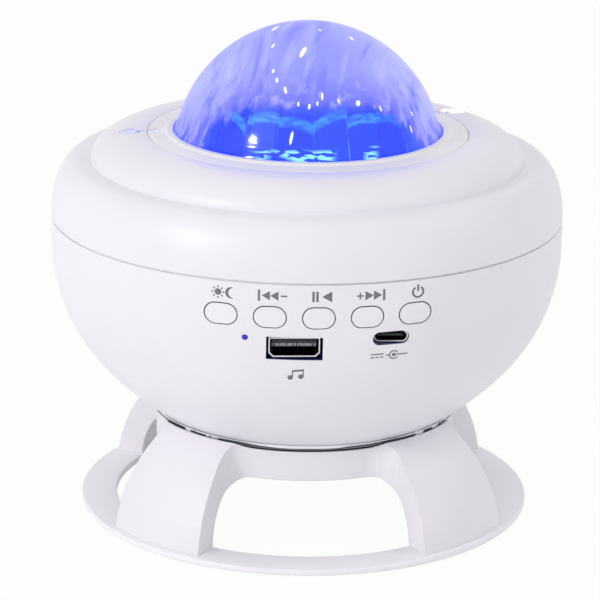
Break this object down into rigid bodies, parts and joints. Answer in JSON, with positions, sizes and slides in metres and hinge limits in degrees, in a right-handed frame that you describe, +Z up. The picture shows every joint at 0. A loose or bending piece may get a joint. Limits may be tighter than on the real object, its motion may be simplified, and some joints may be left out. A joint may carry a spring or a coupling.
{
  "type": "star projector night light",
  "caption": "Ball-shaped night light projector with a hazy blue dome, front buttons and sockets, on an open legged ring stand.",
  "frame": {"origin": "on the table, under the middle of the stand", "axes": "+Z up, -Y out of the front panel, +X to the panel's right as seen from the front"},
  "size_m": [0.1388, 0.1388, 0.1343],
  "materials": {
    "stand_white": "satin white moulding",
    "pad_rubber": "matt anti-slip rubber",
    "screw_steel": "plated",
    "clear_seat": "clear polished",
    "shell_white": "satin white moulding",
    "button_white": "satin white moulding",
    "dome_haze": "hazy blue-violet, polished outside",
    "window_frost": "frosted clear",
    "wave_clear": "clear, fluted",
    "inner_plastic": "light grey moulding",
    "lens_clear": "clear polished",
    "lamp_board_white": "white solder mask",
    "lamp_light": "lamp chips",
    "sink_aluminium": "bare",
    "motor_steel": "plated can",
    "gear_plastic": "natural acetal",
    "laser_brass": "turned",
    "grating_clear": "clear with fine grating",
    "board_blue": "solder mask",
    "black_plastic": "moulded",
    "indicator_light": "small lamp",
    "pipe_blue": "clear blue",
    "socket_steel": "nickel plated",
    "speaker_black": "black paint",
    "cone_paper": "coated cone",
    "lead_red": "insulated wire",
    "lead_yellow": "insulated wire",
    "lead_blue": "insulated wire"
  },
  "bodies": {
    "stand": {"base_ring": "stand_white", "foot_pads": "pad_rubber", "stand_frame": "stand_white", "stand_screws": "screw_steel"},
    "seat": {"seat_ring": "clear_seat"},
    "head": {"lower_shell": "shell_white", "upper_shell": "shell_white", "dome_bezel": "shell_white", "projection_dome": "dome_haze", "star_window_left": "window_frost", "star_window_right": "window_frost", "glow_windows": "window_frost", "shell_screws": "screw_steel", "lamp_chassis": "inner_plastic", "chassis_screws": "screw_steel", "condenser_lens": "lens_clear", "lamp_board": "lamp_board_white", "lamp_chips": "lamp_light", "heat_sink": "sink_aluminium", "gear_motor": "motor_steel", "laser_left": "laser_brass", "laser_right": "laser_brass", "button_board": "board_blue", "switch_bodies": "black_plastic", "indicator_chip": "indicator_light", "light_pipe": "pipe_blue", "main_board": "board_blue", "board_chips": "black_plastic", "board_screws": "screw_steel", "usb_shell": "socket_steel", "usb_tongue": "black_plastic", "charge_board": "board_blue", "header_strip": "black_plastic", "typec_shell": "socket_steel", "typec_tongue": "black_plastic", "speaker_frame": "speaker_black", "speaker_cone": "cone_paper", "speaker_magnet": "motor_steel", "speaker_screws": "screw_steel", "speaker_lead": "lead_red", "motor_lead": "lead_yellow", "lamp_lead": "lead_blue"},
    "cup": {"wave_cup": "wave_clear"},
    "pinion": {"motor_pinion": "gear_plastic"},
    "grating_left": {"grating_disc_left": "grating_clear"},
    "grating_right": {"grating_disc_right": "grating_clear"},
    "lamp": {"lamp_button": "button_white", "lamp_plunger": "black_plastic"},
    "previous": {"previous_button": "button_white", "previous_plunger": "black_plastic"},
    "pause": {"pause_button": "button_white", "pause_plunger": "black_plastic"},
    "next": {"next_button": "button_white", "next_plunger": "black_plastic"},
    "power": {"power_button": "button_white", "power_plunger": "black_plastic"}
  },
  "joints": [
    {"name": "head_yaw", "type": "hinge", "parent": "stand", "child": "seat", "pos_m": [0, 0, 0.0246], "axis": [0, 0, 1], "continuous": true},
    {"name": "head_tilt", "type": "hinge", "parent": "seat", "child": "head", "pos_m": [0, 0, 0.09262], "axis": [1, 0, 0], "range_deg": [-20, 20]},
    {"name": "cup_spin", "type": "hinge", "parent": "head", "child": "cup", "pos_m": [0, 0, 0.08803], "axis": [0, 0, 1], "continuous": true},
    {"name": "pinion_spin", "type": "hinge", "parent": "head", "child": "pinion", "pos_m": [0.036, 0, 0.08803], "axis": [0, 0, 1], "continuous": true},
    {"name": "grating_left_spin", "type": "hinge", "parent": "head", "child": "grating_left", "pos_m": [-0.04, 0, 0.08803], "axis": [0, 0, 1], "continuous": true},
    {"name": "grating_right_spin", "type": "hinge", "parent": "head", "child": "grating_right", "pos_m": [0.03464, 0.02, 0.08803], "axis": [0, 0, 1], "continuous": true},
    {"name": "lamp_press", "type": "slide", "parent": "head", "child": "lamp", "axis": [0, 1, 0], "range_m": [0, 0.0005], "stiffness_N_per_m": 800, "springref_m": -0.0005},
    {"name": "previous_press", "type": "slide", "parent": "head", "child": "previous", "axis": [0, 1, 0], "range_m": [0, 0.0005], "stiffness_N_per_m": 800, "springref_m": -0.0005},
    {"name": "pause_press", "type": "slide", "parent": "head", "child": "pause", "axis": [0, 1, 0], "range_m": [0, 0.0005], "stiffness_N_per_m": 800, "springref_m": -0.0005},
    {"name": "next_press", "type": "slide", "parent": "head", "child": "next", "axis": [0, 1, 0], "range_m": [0, 0.0005], "stiffness_N_per_m": 800, "springref_m": -0.0005},
    {"name": "power_press", "type": "slide", "parent": "head", "child": "power", "axis": [0, 1, 0], "range_m": [0, 0.0005], "stiffness_N_per_m": 800, "springref_m": -0.0005}
  ],
  "couplings": [
    {"joint": "pinion_spin", "follows": "cup_spin", "ratio": -5},
    {"joint": "grating_left_spin", "follows": "cup_spin", "ratio": -3},
    {"joint": "grating_right_spin", "follows": "cup_spin", "ratio": -3}
  ]
}
